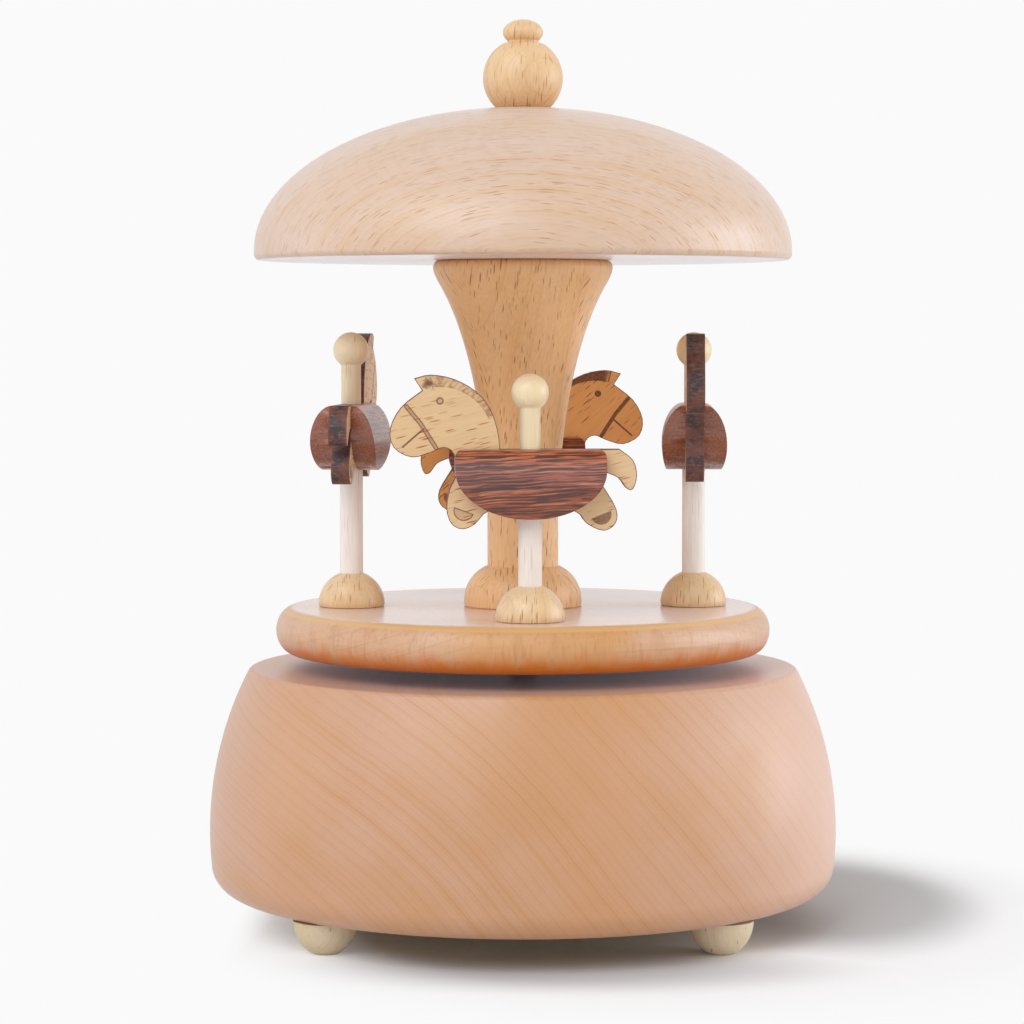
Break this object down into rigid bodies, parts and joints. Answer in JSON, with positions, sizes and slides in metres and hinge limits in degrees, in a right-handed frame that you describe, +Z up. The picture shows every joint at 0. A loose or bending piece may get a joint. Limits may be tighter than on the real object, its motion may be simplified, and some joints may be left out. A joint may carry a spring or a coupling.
{
  "type": "carousel music box",
  "caption": "Wooden wind-up carousel music box: a turntable with horses on poles under a domed canopy turns on a round base that holds the movement.",
  "frame": {"origin": "on the turntable's axis, on the surface that the four feet stand on", "axes": "+Z up along the turntable's axis; -Y towards the viewer's side, where the front horse stands at rest; the drum lies along +X"},
  "size_m": [0.1098, 0.1098, 0.1573],
  "materials": {
    "maple": "satin lacquer",
    "beech": "satin lacquer",
    "canopy_beech": "satin lacquer",
    "pale_beech": "satin lacquer",
    "white_dowel": "satin lacquer",
    "cream_peg": "satin lacquer",
    "horse_beech": "satin lacquer",
    "walnut": "satin lacquer",
    "cover_wood": "satin lacquer",
    "steel": "bright",
    "dark_steel": "oil blackened",
    "brass": "satin"
  },
  "bodies": {
    "base": {"base_body": "maple", "bottom_cover": "cover_wood", "cover_screws": "steel", "foot_1": "pale_beech", "foot_2": "pale_beech", "foot_3": "pale_beech", "foot_4": "pale_beech", "bedplate": "brass", "movement_screws": "steel", "spring_housing": "brass", "housing_screws": "steel", "mainspring": "steel", "comb": "steel", "comb_screws": "brass", "governor_frame": "brass", "governor_screw": "steel"},
    "carousel": {"turntable": "maple", "column": "beech", "canopy": "canopy_beech", "finial": "beech", "spindle": "dark_steel", "hub_plate": "steel", "hub_screws": "steel", "great_wheel": "brass", "ratchet_wheel": "steel", "click": "steel", "click_spring": "steel", "front_pole_foot": "beech", "left_pole_foot": "beech", "back_pole_foot": "beech", "right_pole_foot": "beech", "front_dowel": "white_dowel", "left_dowel": "white_dowel", "back_dowel": "white_dowel", "right_dowel": "white_dowel", "front_peg": "cream_peg", "left_peg": "cream_peg", "back_peg": "cream_peg", "right_peg": "cream_peg", "front_horse_plate": "horse_beech", "left_horse_plate": "horse_beech", "back_horse_plate": "horse_beech", "right_horse_plate": "horse_beech", "front_outer_half": "walnut", "left_outer_half": "walnut", "back_outer_half": "walnut", "right_outer_half": "walnut", "front_inner_half": "walnut", "left_inner_half": "walnut", "back_inner_half": "walnut", "right_inner_half": "walnut"},
    "drum": {"drum_shaft": "steel", "drum_cylinder": "brass", "drum_pins": "steel", "drum_gear": "brass"},
    "governor": {"governor_wheel": "brass"},
    "fly": {"governor_fly": "steel"}
  },
  "joints": [
    {"name": "turntable_spin", "type": "hinge", "parent": "base", "child": "carousel", "pos_m": [0, 0, 0.046], "axis": [0, 0, 1], "continuous": true},
    {"name": "drum_spin", "type": "hinge", "parent": "base", "child": "drum", "pos_m": [0.0163, 0, 0.03003], "axis": [1, 0, 0], "continuous": true},
    {"name": "governor_spin", "type": "hinge", "parent": "base", "child": "governor", "pos_m": [0.03465, 0.0072, 0.03003], "axis": [1, 0, 0], "continuous": true},
    {"name": "fly_spin", "type": "hinge", "parent": "base", "child": "fly", "pos_m": [0.03465, 0.01178, 0.03003], "axis": [0, 0, 1], "continuous": true}
  ],
  "couplings": [
    {"joint": "drum_spin", "follows": "turntable_spin", "ratio": -3.5},
    {"joint": "governor_spin", "follows": "turntable_spin", "ratio": 12.25},
    {"joint": "fly_spin", "follows": "turntable_spin", "ratio": 98}
  ]
}
